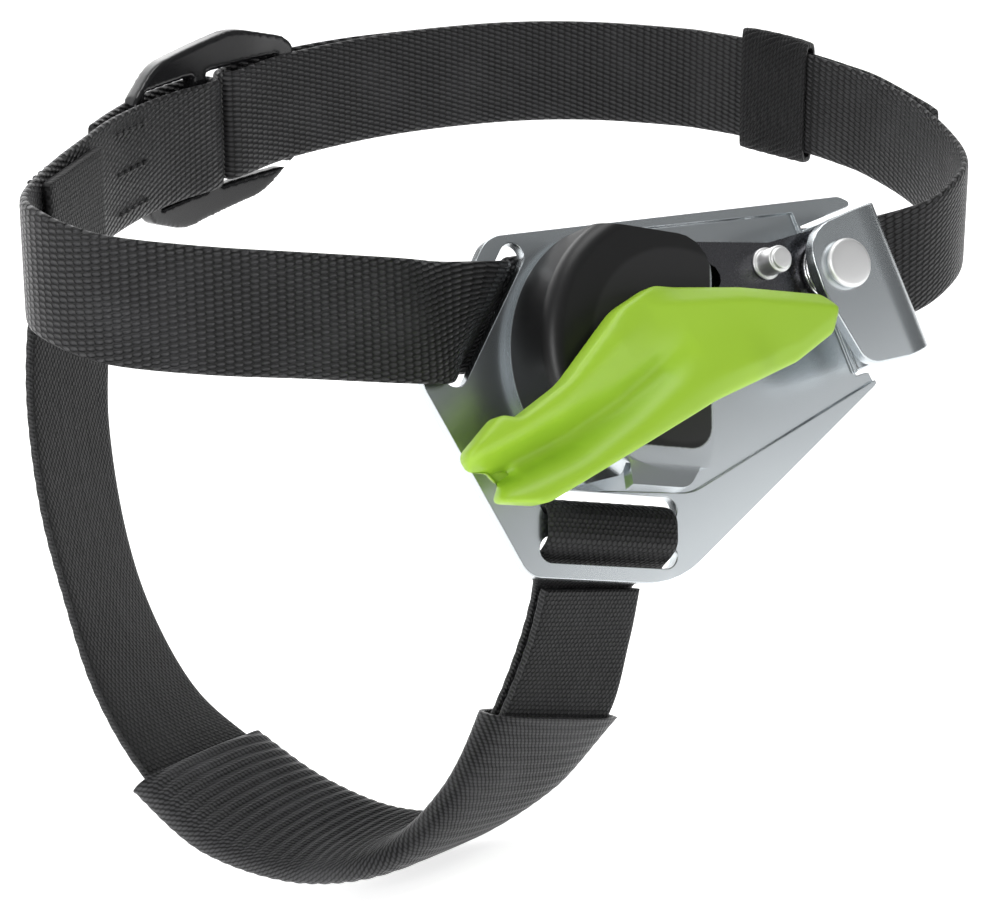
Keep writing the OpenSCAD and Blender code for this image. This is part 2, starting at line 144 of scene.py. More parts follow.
sole_rows = [
    row([-61, -11.8, 15.6], [15.5, 19.6, 3]), row([-61, -11.8, 6], [15.5, 19.6, 2]),
    row([-61.8, -12.6, -3], [16.4, 18.4, -4]), row([-64, -15.4, -10.6], [17.6, 16, -8]),
    row([-66.6, -21, -23.6], [17.6, 15.2, -9]), row([-67.4, -28.6, -39], [17.8, 14.2, -10]),
    row([-66.2, -35.8, -52], [18.4, 13.4, -10]), row([-63.2, -44.4, -65], [20.4, 12.6, -7]),
    row([-57.6, -52.6, -74.6], [21.6, 12.4, -1.6]), row([-49, -59.4, -83], [22, 12, 0]),
    row([-36, -63.2, -89.4], [21.4, 12.8, -1]), row([-22, -64, -90.6], [21.4, 12.4, -3.6]),
    row([-8, -61, -86], [22.4, 9.6, -6.4]), row([3, -57.8, -76.4], [23.6, 5.2, -6.6]),
    row([9, -55.4, -65.2], [23.4, 6.4, -5.6]), row([12, -54.2, -56.2], [23.2, 7, -5.6])]
outer_rows = sole_rows + [plate_row([-37.6, -52.4, -5.2], [24.8, 0, 0])]
inner_rows = sole_rows[12:]
loop_rows = [
    plate_row([-37.6, -52.2, -5], [24.6, 0, 0]), plate_row([-37.6, -51, -3.4], [24.4, 0, 0]),
    plate_row([-37.6, -49.6, -0.6], [24.4, 0, 0]), plate_row([-37.6, -48, 1.3], [24.4, 0, 0]),
    plate_row([-37.6, -45.8, 1.5], [24.4, 0, 0]), plate_row([-37.6, -43.6, 1.2], [24.4, 0, 0]),
    plate_row([-37.6, -42.1, -0.8], [24.4, 0, 0]), plate_row([-37.6, -42.4, -4.4], [24.4, 0, 0]),
    plate_row([-37.6, -47, -5.6], [24.4, 0, 0])]


# ---- Mesh tools ----
def smooth(rows, n):
    """Catmull-Rom curve through the rows, n steps to a span."""
    p = np.array(rows, float)
    pad = np.vstack([p[:1], p, p[-1:]])
    t = np.arange(n)[:, None] / n
    out = []
    for i in range(len(p) - 1):
        a, b, c, d = pad[i:i + 4]
        out.append(0.5 * (2 * b + (c - a) * t + (2 * a - 5 * b + 4 * c - d) * t**2
                          + (3 * b - a - 3 * c + d) * t**3))
    return np.vstack(out + [p[-1:]])


def resample(q, step):
    """Rows at even steps along the line of centres, and their distances along it."""
    s = np.concatenate([[0], np.cumsum(np.linalg.norm(np.diff(q[:, :3], axis=0), axis=1))])
    n = max(int(round(s[-1] / step)), 2)
    at = np.linspace(0, s[-1], n + 1)
    return np.stack([np.interp(at, s, q[:, k]) for k in range(q.shape[1])], 1), at


def unit(v):
    return v / np.linalg.norm(v, axis=-1, keepdims=True)


def new_object(name, verts, faces, uvs=None):
    """A mesh object from points in millimetres; uvs is one pair for each vertex."""
    mesh = bpy.data.meshes.new(name)
    mesh.from_pydata((np.asarray(verts) * MM).tolist(), [], [list(map(int, f)) for f in faces])
    if uvs is not None:
        layer = mesh.uv_layers.new(name="UVMap")
        index = np.empty(len(mesh.loops), int)
        mesh.loops.foreach_get("vertex_index", index)
        layer.data.foreach_set("uv", np.asarray(uvs)[index].astype(np.float32).ravel())
    mesh.polygons.foreach_set("use_smooth", [True] * len(mesh.polygons))
    mesh.update()
    obj = bpy.data.objects.new(name, mesh)
    bpy.context.scene.collection.objects.link(obj)
    return obj


def rings_to_mesh(name, rings, uvs):
    """Closed skin over rings of points: rings is [ring, point, xyz] and uvs is [ring, point, 2]."""
    m, k = rings.shape[:2]
    a = np.arange(m - 1)[:, None] * k + np.arange(k)[None]
    b = np.arange(m - 1)[:, None] * k + (np.arange(k)[None] + 1) % k
    faces = np.stack([a + k, b + k, b, a], -1).reshape(-1, 4).tolist()
    half = k // 2
    for base, flip in ((0, False), ((m - 1) * k, True)):
        for i in range(half - 1):
            quad = [base + i, base + i + 1, base + k - 2 - i, base + k - 1 - i]
            faces.append(quad[::-1] if flip else quad)
    return new_object(name, rings.reshape(-1, 3), faces, uvs.reshape(-1, 2))


# Close places near an edge of the webbing, as shares of its half width, for a round edge
EDGE = np.array([0, 0.004, 0.015, 0.035, 0.07])
EDGE_SQUARENESS = 20.0
EDGE_ROUNDNESS = 1 / 2.2
EDGE_LEAST = 0.18
SPAN_STEPS = 24


def webbing(name, rows, thick=WEB_T, shift=0.0, step=0.8, across=18, relief=None):
    """Flat webbing with round edges along the rows, moved by shift towards its front face.

    relief(s, v) lifts both faces, in millimetres. The UV map holds the distance along and the
    distance across, in millimetres.
    """
    q, s = resample(smooth(rows, SPAN_STEPS), step)
    c, w = q[:, :3], q[:, 3:]
    along = np.gradient(c, axis=0)
    n = unit(np.cross(along, w))
    width = np.linalg.norm(w, axis=1)
    inner = np.linspace(-1 + 2 * EDGE[-1], 1 - 2 * EDGE[-1], across)[1:-1]
    v = np.concatenate([-1 + 2 * EDGE, inner, (1 - 2 * EDGE)[::-1]])
    rise = (1 - np.abs(v)**EDGE_SQUARENESS)**EDGE_ROUNDNESS
    rise[0] = rise[-1] = EDGE_LEAST
    c = c + n * shift
    middle = c[:, None] + w[:, None] / 2 * v[None, :, None]
    across_mm = v[None, :] * width[:, None] / 2
    lift = relief(s[:, None], across_mm) * rise if relief else 0.0
    out = n[:, None] * (thick / 2 * rise[None, :] + lift)[..., None]
    rings = np.concatenate([middle - out, (middle + out)[:, ::-1]], 1)
    uv = np.stack([np.broadcast_to(s[:, None], across_mm.shape), across_mm], -1)
    return rings_to_mesh(name, rings, np.concatenate([uv, uv[:, ::-1]], 1))


def tube(name, centres, radius, sides=10, twist=None):
    """Round tube through the points.

    radius may be one value for each point, and twist(s, a) scales it round the tube.
    """
    c = np.asarray(centres, float)
    s = np.concatenate([[0], np.cumsum(np.linalg.norm(np.diff(c, axis=0), axis=1))])
    along = unit(np.gradient(c, axis=0))
    side = unit(np.cross(along, [0.31, 0.52, 0.79]))
    other = np.cross(along, side)
    a = np.linspace(0, 2 * math.pi, sides, endpoint=False)
    r = np.broadcast_to(np.asarray(radius, float), (len(c),))[:, None] * np.ones(sides)
    if twist:
        r = r * twist(s[:, None], a[None])
    spokes = side[:, None] * np.cos(a)[None, :, None] + other[:, None] * np.sin(a)[None, :, None]
    ring = c[:, None] + r[..., None] * spokes
    uv = np.stack(np.broadcast_arrays(s[:, None], a[None] * 2), -1)
    return rings_to_mesh(name, ring, uv)


def superellipse(sides, flat_x, flat_y):
    """Points round a closed rounded outline of half size 1; powers below 1 square its corners."""
    a = np.linspace(0, 2 * math.pi, sides, endpoint=False)
    x = np.sign(np.cos(a)) * np.abs(np.cos(a))**flat_x
    y = np.sign(np.sin(a)) * np.abs(np.sin(a))**flat_y
    return x, y


def distance_round(x, y, half_w, half_t):
    """Distance round the outline to each of its points, in millimetres."""
    return np.cumsum(np.concatenate([[0], np.hypot(np.diff(x) * half_w, np.diff(y) * half_t)]))


def hollow(name, outer, inner, s, around):
    """Open tube with a wall: one skin outside and one inside, joined at the two ends."""
    m, k = outer.shape[:2]
    ia = np.arange(m - 1)[:, None] * k + np.arange(k)[None]
    ib = np.arange(m - 1)[:, None] * k + (np.arange(k)[None] + 1) % k
    base, last = m * k, (m - 1) * k
    faces = np.stack([ia, ib, ib + k, ia + k], -1).reshape(-1, 4).tolist()
    faces += (np.stack([ia + k, ib + k, ib, ia], -1).reshape(-1, 4) + base).tolist()
    for i in range(k):
        j = (i + 1) % k
        faces.append([i, i + base, j + base, j])
        faces.append([last + j, last + j + base, last + i + base, last + i])
    verts = np.concatenate([outer.reshape(-1, 3), inner.reshape(-1, 3)])
    uv = np.stack(np.broadcast_arrays(s[:, None], around[None]), -1).reshape(-1, 2)
    return new_object(name, verts, faces, np.concatenate([uv, uv]))


def join(name, parts):
    """One object from several, kept as separate shells."""
    bm = bmesh.new()
    for p in parts:
        bm.from_mesh(p.data)
    mesh = bpy.data.meshes.new(name)
    bm.to_mesh(mesh)
    bm.free()
    mesh.polygons.foreach_set("use_smooth", [True] * len(mesh.polygons))
    for p in parts:
        old = p.data
        bpy.data.objects.remove(p)
        bpy.data.meshes.remove(old)
    obj = bpy.data.objects.new(name, mesh)
    bpy.context.scene.collection.objects.link(obj)
    return obj


# ---- Material tools ----
class Surface:
    """A node material that is built from sums, in millimetres."""

    def __init__(self, name):
        self.material = bpy.data.materials.new(name)
        self.material.use_nodes = True
        self.tree = self.material.node_tree
        self.shader = self.tree.nodes["Principled BSDF"]

    def node(self, kind, **settings):
        n = self.tree.nodes.new(kind)
        for k, v in settings.items():
            setattr(n, k, v)
        return n

    def link(self, a, b):
        if isinstance(a, (int, float, tuple, list)):
            b.default_value = a
        else:
            self.tree.links.new(a, b)

    def math(self, op, *values):
        n = self.node("ShaderNodeMath", operation=op)
        for i, v in enumerate(values):
            self.link(v, n.inputs[i])
        return n.outputs[0]

    def uv(self):
        """Distances along and across, in millimetres."""
        n = self.node("ShaderNodeSeparateXYZ")
        self.link(self.node("ShaderNodeUVMap", uv_map="UVMap").outputs[0], n.inputs[0])
        return n.outputs[0], n.outputs[1]

    def object_mm(self):
        n = self.node("ShaderNodeVectorMath", operation="SCALE")
        self.link(self.node("ShaderNodeTexCoord").outputs["Object"], n.inputs[0])
        n.inputs["Scale"].default_value = 1 / MM
        return n.outputs[0]

    def plate_mm(self):
        """Object position in the plate's axes, in millimetres."""
        move = self.node("ShaderNodeVectorMath", operation="SUBTRACT")
        self.link(self.object_mm(), move.inputs[0])
        move.inputs[1].default_value = PIVOT.tolist()
        out = []
        for axis in ([1, 0, 0], [0, 1, 0], [0, 0, 1]):
            dot = self.node("ShaderNodeVectorMath", operation="DOT_PRODUCT")
            self.link(move.outputs[0], dot.inputs[0])
            dot.inputs[1].default_value = turn(axis).tolist()
            out.append(dot.outputs["Value"])
        return out

    def noise(self, vector, scale, detail=3.0, rough=0.5):
        n = self.node("ShaderNodeTexNoise")
        self.link(vector, n.inputs["Vector"])
        n.inputs["Scale"].default_value = scale
        n.inputs["Detail"].default_value = detail
        n.inputs["Roughness"].default_value = rough
        return n.outputs["Fac"]

    def mix(self, fac, a, b):
        n = self.node("ShaderNodeMix", data_type="RGBA")
        self.link(fac, n.inputs[0])
        for v, socket in ((a, n.inputs[6]), (b, n.inputs[7])):
            self.link((*v, 1) if isinstance(v, tuple) and len(v) == 3 else v, socket)
        return n.outputs[2]

    def bump(self, height, distance, strength=1.0):
        n = self.node("ShaderNodeBump")
        self.link(height, n.inputs["Height"])
        n.inputs["Distance"].default_value = distance * MM
        n.inputs["Strength"].default_value = strength
        self.link(n.outputs[0], self.shader.inputs["Normal"])

    def set(self, **values):
        for k, v in values.items():
            self.link(v, self.shader.inputs[k.replace("_", " ")])

    def step(self, value, low, high):
        """0 below low, 1 above high, and smooth between."""
        n = self.node("ShaderNodeMapRange", interpolation_type="SMOOTHSTEP")
        self.link(value, n.inputs[0])
        n.inputs[1].default_value = low
        n.inputs[2].default_value = high
        return n.outputs[0]


def weave(name, along, across, slant, shaded_gap_colour, light, rough, bump, sheen=0.04):
    """Webbing whose yarns show as staggered lozenges: along and across are one lozenge's pitch."""
    s = Surface(name)
    u, v = s.uv()

    def lozenge(offset):
        a = s.math("SUBTRACT", s.math("FRACT", s.math("ADD", s.math("DIVIDE", u, 2 * along), offset)), 0.5)
        b = s.math("ADD", s.math("ADD", s.math("DIVIDE", v, across), s.math("MULTIPLY", a, 2 * slant)), offset)
        b = s.math("SUBTRACT", s.math("FRACT", b), 0.5)
        a2 = s.math("POWER", s.math("ABSOLUTE", s.math("DIVIDE", a, 0.29)), 2.2)
        b2 = s.math("POWER", s.math("ABSOLUTE", s.math("DIVIDE", b, 0.43)), 2.0)
        return s.math("SQRT", s.math("MAXIMUM", s.math("SUBTRACT", s.math("SUBTRACT", 1.0, a2), b2), 0.0))

    height = s.math("MAXIMUM", lozenge(0.0), lozenge(0.5))
    fibre = s.noise(s.object_mm(), 3.5, 4.0)
    height = s.math("ADD", height, s.math("MULTIPLY", fibre, 0.2))
    wear = s.noise(s.object_mm(), 0.09, 2.0)
    # Painted shade and highlight: the gaps between lozenges take the dark colour and the lozenge tops the light
    # one
    colour = s.mix(s.step(height, 0.45, 1.1), shaded_gap_colour, light)
    colour = s.mix(s.math("MULTIPLY", s.step(wear, 0.45, 0.75), 0.3), colour, tuple(1.5 * c for c in light))
    s.set(Base_Color=colour, Roughness=s.math("SUBTRACT", rough + 0.12, s.math("MULTIPLY", height, 0.12)))
    s.shader.inputs["Sheen Weight"].default_value = sheen
    s.shader.inputs["Sheen Roughness"].default_value = 0.35
    s.shader.inputs["Specular IOR Level"].default_value = 0.35
    s.bump(height, bump)
    return s.material


def metal(name, colour, rough, grain=0.05, bump=0.004, scale=0.6):
    """Bare metal: grain is how far the roughness varies."""
    s = Surface(name)
    p = s.object_mm()
    n = s.noise(p, scale, 5.0, 0.6)
    broad = s.noise(p, 0.05, 2.0)
    tint = s.mix(broad, tuple(c * 0.92 for c in colour), colour)
    s.set(Base_Color=tint, Metallic=1.0,
          Roughness=s.math("ADD", rough - grain / 2, s.math("MULTIPLY", n, grain)))
    s.bump(n, bump)
    return s.material


def plated_steel():
    """Satin zinc. The channel's wall and face are painted black as a painted dark reflection, down to a bare
    lip and foot, and the face near the wall gets a lighter painted reflection.
    """
    s = Surface("plated_steel")
    x, y, z = s.plate_mm()
    fine = s.noise(s.object_mm(), 2.2, 4.0, 0.6)
    broad = s.noise(s.object_mm(), 0.03, 2.0)
    steel = s.mix(broad, (0.55, 0.59, 0.615), (0.65, 0.685, 0.705))
    dx = s.math("SUBTRACT", x, float(WALL_C[0]))
    dy = s.math("SUBTRACT", y, float(WALL_C[1]))
    radius = s.math("SQRT", s.math("ADD", s.math("MULTIPLY", dx, dx), s.math("MULTIPLY", dy, dy)))
    # The painted dark reflection ends in a round corner at the lower right, and above the wall's foot
    right = s.math("MAXIMUM", s.math("ADD", x, 31.0), 0.0)
    below = s.math("MAXIMUM", s.math("SUBTRACT", -30.0, y), 0.0)
    out = s.math("SQRT", s.math("ADD", s.math("MULTIPLY", right, right), s.math("MULTIPLY", below, below)))
    edge = s.math("ADD", out, s.math("MULTIPLY", fine, 0.3))
    # Painted dark reflection: the wall and face above the foot are coloured black, less metallic and rougher
    painted_dark_reflection = s.math("MULTIPLY", s.step(z, 1.7, 2.3), s.math("SUBTRACT", 1.0, s.step(edge, 3.9, 4.3)))
    # Painted lighter reflection: the face within about 16 mm of the wall's centre gets the lighter black
    inner = s.math("MULTIPLY", s.math("SUBTRACT", 1.0, s.step(radius, 15.6, 16.6)), s.step(z, 15.3, 15.45))
    black = s.mix(inner, (0.009, 0.009, 0.0095), (0.024, 0.0235, 0.025))
    rough = s.math("ADD", 0.25, s.math("MULTIPLY", fine, 0.03))
    s.set(Base_Color=s.mix(painted_dark_reflection, steel, black),
          Metallic=s.math("SUBTRACT", 1.0, s.math("MULTIPLY", painted_dark_reflection, 0.8)),
          Roughness=s.math("ADD", rough, s.math("MULTIPLY", painted_dark_reflection, 0.12)))
    s.bump(fine, 0.0008)
    return s.material


def moulded(name, colour, rough, bump=0.02, glow=0.0):
    """Moulded plastic with a fine spark-eroded grain."""
    s = Surface(name)
    p = s.object_mm()
    fine = s.noise(p, 4.5, 3.0, 0.6)
    broad = s.noise(p, 0.06, 2.0)
    s.set(Base_Color=s.mix(broad, tuple(c * 0.93 for c in colour), colour),
          Roughness=s.math("ADD", rough - 0.04, s.math("MULTIPLY", fine, 0.08)))
    s.shader.inputs["Subsurface Weight"].default_value = glow
    s.shader.inputs["Subsurface Radius"].default_value = (0.004, 0.004, 0.001)
    s.bump(fine, bump)
    return s.material


def thread_material():
    """Black thread whose plies twist along it."""
    s = Surface("thread")
    u, v = s.uv()
    ply = s.math("SINE", s.math("ADD", s.math("MULTIPLY", u, 9.0), v))
    # Painted highlight and shade: the colour runs from dark to light with the ply's twist, in step with its
    # bump
    s.set(Base_Color=s.mix(s.step(ply, -1, 1), (0.004, 0.004, 0.0045), (0.03, 0.03, 0.032)), Roughness=0.42)
    s.bump(ply, 0.05)
    return s.material


# Each weave's dark colour is painted shade for the yarn gaps, and its light colour is a painted highlight for
# the yarn tops
ANKLE_WEB = weave("ankle_weave", 1.4, 0.95, -0.3, (0.001, 0.001, 0.0012), (0.032, 0.032, 0.034), 0.34, 0.55)
SOLE_WEB = weave("sole_weave", 0.75, 0.95, 0.0, (0.002, 0.002, 0.0023), (0.016, 0.016, 0.017), 0.55, 0.2)
SLEEVE_WEB = weave("sleeve_twill", 0.6, 0.8, 0.5, (0.003, 0.003, 0.0035), (0.05, 0.05, 0.053), 0.4, 0.09, 0.08)
ELASTIC = weave("keeper_elastic", 0.75, 1.1, 1.0, (0.002, 0.002, 0.0025), (0.014, 0.014, 0.015), 0.55, 0.25,
                0.05)
THREAD = thread_material()
PLATE = plated_steel()
CAM_STEEL = metal("cam_steel", (0.13, 0.13, 0.14), 0.27, 0.08, 0.01, 1.5)
BRIGHT = metal("bright_steel", (0.86, 0.86, 0.87), 0.2, 0.06)
RIVET = metal("rivet_steel", (0.95, 0.95, 0.95), 0.5, 0.04)
BRASS = metal("bushing_bronze", (0.55, 0.38, 0.16), 0.3)
LIME = moulded("lever_plastic", (0.36, 0.60, 0.035), 0.42, 0.012, 0.05)
GLOSS = moulded("buckle_plastic", (0.012, 0.012, 0.013), 0.16, 0.004)


def finish_piece(obj, material, slot, body, *nodes):
    """Gives a piece its material and its body, and hides the CAD nodes that it stands for."""
    obj.data.materials.clear()
    obj.data.materials.append(material)
    if nodes:
        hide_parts(*nodes)
    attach(obj, body)
    return obj


# ---- Webbing ----
def ankle_straps():
    """Every length of the ankle webbing: the two straps, the tail and the buckle's loop."""
    for name, rows, shift, node in (
        ("ankle_webbing_front", front_rows, 0, "ankle_strap_front"),
        ("ankle_webbing_rear", rear_rows, 0, "ankle_strap_rear"),
        ("webbing_tail", tail_rows, 1.9, "strap_tail"),
        ("buckle_webbing", buckle_rows, 0, "buckle_strap"),
    ):
        finish_piece(webbing(name, rows, shift=shift), ANKLE_WEB, "ankle_webbing", FRAME, node)


def cord_edge(name, rows, shift, edge, radius=0.5, pitch=3.0):
    """Twisted selvage cord along one edge of the webbing: edge is -1 or 1 across it."""
    inset, ply_depth = 0.3, 0.2
    q, _ = resample(smooth(rows, SPAN_STEPS), 0.4)
    n = unit(np.cross(np.gradient(q[:, :3], axis=0), q[:, 3:]))
    c = q[:, :3] + n * shift + edge * (q[:, 3:] / 2 - unit(q[:, 3:]) * inset)
    ply = lambda d, a: 1 + ply_depth * np.abs(np.cos(a - 2 * math.pi * d / (2 * pitch)))
    return tube(name, c, radius, 12, ply)


def sole_straps():
    """The sole loop's two layers, the loop round the lower bar, and the selvage cords."""
    ribs = lambda s, v: 0.04 * np.sin(2 * math.pi * v / 2.1)
    inner_shift = -1.9
    for name, rows, settings, node in (
        ("sole_webbing_outer", outer_rows, {}, "sole_strap_outer"),
        ("sole_webbing_inner", inner_rows, {"shift": inner_shift}, "sole_strap_inner"),
        ("crossbar_webbing", loop_rows, {"thick": 1.4, "step": 0.5}, "crossbar_loop"),
    ):
        obj = webbing(name, rows, relief=ribs, across=26, **settings)
        finish_piece(obj, SOLE_WEB, "sole_webbing", FRAME, node)
    for name, rows, shift in (("selvage_outer_left", outer_rows[2:], 0),
                              ("selvage_inner_left", inner_rows, inner_shift)):
        finish_piece(cord_edge(name, rows, shift, -1), THREAD, "sole_webbing", FRAME)


def sleeve():
    """Flat wear sleeve round the sole strap, with arched ribs across it and a flared upper end."""
    wider, rib_pitch, rib_arch, half_thick, inward = 1.18, 1.95, 1.6, 2.3, 0.6
    rows = [row(r[:3], np.array(r[3:]) * wider) for r in sole_rows[8:14]]
    q, s = resample(smooth(rows, SPAN_STEPS), 0.22)
    c, w = q[:, :3], q[:, 3:]
    n = unit(np.cross(np.gradient(c, axis=0), w))
    width = np.linalg.norm(w, axis=1)
    share = (s / s[-1])[:, None]
    flare = 1 + 0.45 * np.clip((share - 0.86) / 0.14, 0, 1)**2
    x, y = superellipse(120, 0.5, 0.75)

    def skin(grow, ribs):
        arch = rib_arch * (1 - np.abs(x)**2)
        rib = 0.5 + 0.5 * np.cos(2 * math.pi * (s[:, None] + arch[None]) / rib_pitch)
        fade = np.clip(1.25 - 1.5 * share, 0.25, 1)
        lift = ribs * rib**0.7 * fade * (1 - np.abs(x[None])**14)
        half_w = width[:, None] / 2 + grow
        half_t = half_thick * flare + grow + lift
        p = c[:, None] - n[:, None] * inward + unit(w)[:, None] * (x[None] * half_w)[..., None]
        return p + n[:, None] * (y[None] * half_t)[..., None]

    around = distance_round(x, y, 14, 2)
    obj = hollow("sole_wear_sleeve", skin(0.45, 0.6), skin(-0.35, 0.0), s, around)
    finish_piece(obj, SLEEVE_WEB, "sleeve_webbing", FRAME, "sole_sleeve")


def keeper():
    """Ribbed elastic band, closed round the rear strap and the tail."""
    band_w, band_half_w, band_half_t, outward = 24.6, 12.0, 3.1, 0.95
    rib_pitch, rib_slant = 1.25, 0.55
    rows = [row(about(KEEPER_AT, a), [0, 0, band_w]) for a in np.linspace(-6, 6, 9)]
    q, s = resample(smooth(rows, 12), 0.3)
    c, w = q[:, :3], q[:, 3:]
    n = unit(np.cross(np.gradient(c, axis=0), w))
    x, y = superellipse(140, 0.32, 0.45)
    around = distance_round(x, y, 12, 3.3)
    rib = 0.5 + 0.5 * np.sin(2 * math.pi * (s[:, None] * rib_slant + around[None]) / rib_pitch)
    bulge = (np.sin(math.pi * np.clip(s / s[-1], 0, 1))**0.4)[:, None]

    def skin(grow, ribs):
        half_w, half_t = band_half_w + grow, band_half_t + grow
        lift = ribs * rib * bulge
        p = c[:, None] + n[:, None] * outward
        p = p + unit(w)[:, None] * (x[None] * (half_w + lift * np.abs(x)[None]))[..., None]
        return p + n[:, None] * (y[None] * (half_t + lift))[..., None]

    obj = hollow("elastic_keeper", skin(0.05, 0.36), skin(-0.85, 0.0), s, around)
    finish_piece(obj, ELASTIC, "keeper_elastic", KEEPER, "strap_keeper")


def stitches(name, lines, out, node):
    """Lines of short raised threads on webbing.

    Each line is (rows, height above the rows' middle). out is the distance of the threads from
    the rows' centres, towards the webbing's front face.
    """
    pitch, gap, radius, least = 2.6, 0.3, 0.3, 0.04
    made = []
    for rows, up in lines:
        q, s = resample(smooth(rows, 12), 0.25)
        n = unit(np.cross(np.gradient(q[:, :3], axis=0), q[:, 3:]))
        c = q[:, :3] + n * out + np.array([0, 0, up])
        for k in range(int(s[-1] / pitch)):
            part = c[(s >= k * pitch + gap) & (s <= (k + 1) * pitch - gap)]
            if len(part) > 3:
                t = np.linspace(0, math.pi, len(part))
                made.append(tube("stitch", part, radius * np.sin(t)**0.5 + least, 8))
    finish_piece(join(name, made), THREAD, "thread", FRAME, node)


def all_stitches():
    """Threads at the strap junction, at the buckle's loop and at the tail's end."""
    junction = [row([-68, -17.7, 6], UP), row([-62.6, -10.5, 7.4], UP), row([-57, -3.6, 8.8], UP)]
    end = [row([108.9, -19, 7.2], UP), row([109, -15, 8.4], UP)]
    for name, rows, heights, out, node in (
        ("junction_threads", junction, (-7.5, -2.5, 2.5, 7.5), -2.75, "junction_stitching"),
        ("buckle_threads", buckle_rows[2:4], (-7, 0, 7), 0.95, "buckle_stitching"),
        ("tail_threads", end, (-6, 0, 6), 2.85, "tail_stitching"),
    ):
        stitches(name, [(rows, up) for up in heights], out, node)


# ---- Turned parts ----
def lathe(name, profile, at=(0, 0), steps=64):
    """Solid of revolution about the plate's z axis; profile is [radius, z] from bottom to top."""
    a = np.linspace(0, 2 * math.pi, steps, endpoint=False)
    p = np.array(profile, float)
    verts = [[at[0], at[1], p[0, 1]]]
    for r, z in p:
        verts += [[at[0] + r * math.cos(t), at[1] + r * math.sin(t), z] for t in a]
    verts.append([at[0], at[1], p[-1, 1]])
    faces = [[0, 1 + (i + 1) % steps, 1 + i] for i in range(steps)]
    for k in range(len(p) - 1):
        a, b = 1 + k * steps, 1 + (k + 1) * steps
        faces += [[a + i, a + (i + 1) % steps, b + (i + 1) % steps, b + i] for i in range(steps)]
    top = 1 + (len(p) - 1) * steps
    faces += [[top + i, top + (i + 1) % steps, len(verts) - 1] for i in range(steps)]
    return new_object(name, to_world(np.array(verts)), faces)


def arc(centre_r, centre_z, radius, start, end, n=7):
    """Points of a round edge in the lathe's profile, angles in degrees."""
    return [[centre_r + radius * math.cos(math.radians(t)), centre_z + radius * math.sin(math.radians(t))]
            for t in np.linspace(start, end, n)]


def turned_parts():
    """The rivet that the cam turns on, and the cam's small pin."""
    head = [[4.2, -3.7], [4.2, -2.5], [3.0, -2.5], [3.0, FACE_Z], [3.9, FACE_Z]]
    head += arc(3.6, FACE_Z + 0.9, 0.7, -40, 90) + [[2.4, FACE_Z + 1.66], [1.2, FACE_Z + 1.7]]
    finish_piece(lathe("cam_axle_rivet", head), RIVET, "rivet_steel", FRAME, "cam_rivet")
    z = CAM_TOP
    pin = [[2.0, z - 4], [2.0, z], [2.6, z], *arc(2.5, z + 0.3, 0.3, -60, 90, 5)]
    pin += [[2.32, z + 0.62], [2.3, z + 0.8], *arc(2.0, z + 4.3, 0.3, 0, 90, 5)]
    pin += [[1.84, z + 4.62], *arc(1.6, z + 5.1, 0.2, 0, 90, 5), [0.8, z + 5.3]]
    finish_piece(lathe("cam_pin", pin, STUD), RIVET, "rivet_steel", CAM, "cam_stud")


def spring():
    """Torsion spring on the cam's pivot, wound upwards from the cam."""
    turns, coil_radius, wire_radius, rise = 2.25, 5.2, 0.45, 1.6
    t = np.linspace(0, 1, 160)
    a = 2 * math.pi * turns * t
    points = np.stack([coil_radius * np.cos(a), coil_radius * np.sin(a), CAM_TOP + 0.55 + rise * t], 1)
    wire = tube("cam_torsion_spring", to_world(points), wire_radius, 12)
    finish_piece(wire, BRIGHT, "spring_steel", FRAME, "cam_spring")


# ---- Lever: outline points are (x, y, corner radius) in the plate's axes ----
LEVER_OUTLINE = [
    (-7.4, -6.6, 1.5), (-24, -7.2, 20), (-41, -9.0, 6), (-47.5, -13.5, 9), (-57, -26.0, 14), (-65.2, -32.4, 2),
    (-68.2, -32.0, 2.2), (-73.8, -38.6, 2.2), (-72.2, -40.9, 1.2), (-68.6, -40.8, 0.8), (-66.9, -42.4, 1.0),
    (-68.0, -45.5, 0.8), (-60.5, -45.4, 4), (-43.5, -35.2, 24), (-30, -27.0, 10), (-13.5, -19.0, 8),
    (-6.0, -13.4, 2), (-5.4, -8.8, 1.5)]
# The tab under the lever's outer end, which reaches down to TAB_Z
TAB = [(-62.6, -31.6), (-68.2, -37.4), (-66.6, -39.8), (-62, -39.8), (-56.2, -33.6)]


def rounded(points, n=7):
    """Outline with round corners."""
    p = [np.array(q[:2], float) for q in points]
    out = []
    for i, q in enumerate(points):
        a, b, c = p[i - 1], p[i], p[(i + 1) % len(p)]
        u, v = unit(a - b), unit(c - b)
        half = math.acos(np.clip(u @ v, -1, 1)) / 2
        r = q[2]
        cut = min(r / math.tan(half), 0.48 * np.linalg.norm(a - b), 0.48 * np.linalg.norm(c - b))
        r = cut * math.tan(half)
        o = b + unit(u + v) * (r / math.sin(half))
        s, e = b + u * cut - o, b + v * cut - o
        out += [o + r * unit(s * (1 - t) + e * t) for t in np.linspace(0, 1, n)]
    return np.array(out)


def even(points, step):
    """Points at even steps round a closed outline."""
    p = np.vstack([points, points[:1]])
    s = np.concatenate([[0], np.cumsum(np.linalg.norm(np.diff(p, axis=0), axis=1))])
    at = np.linspace(0, s[-1], int(s[-1] / step), endpoint=False)
    return np.stack([np.interp(at, s, p[:, 0]), np.interp(at, s, p[:, 1])], 1)


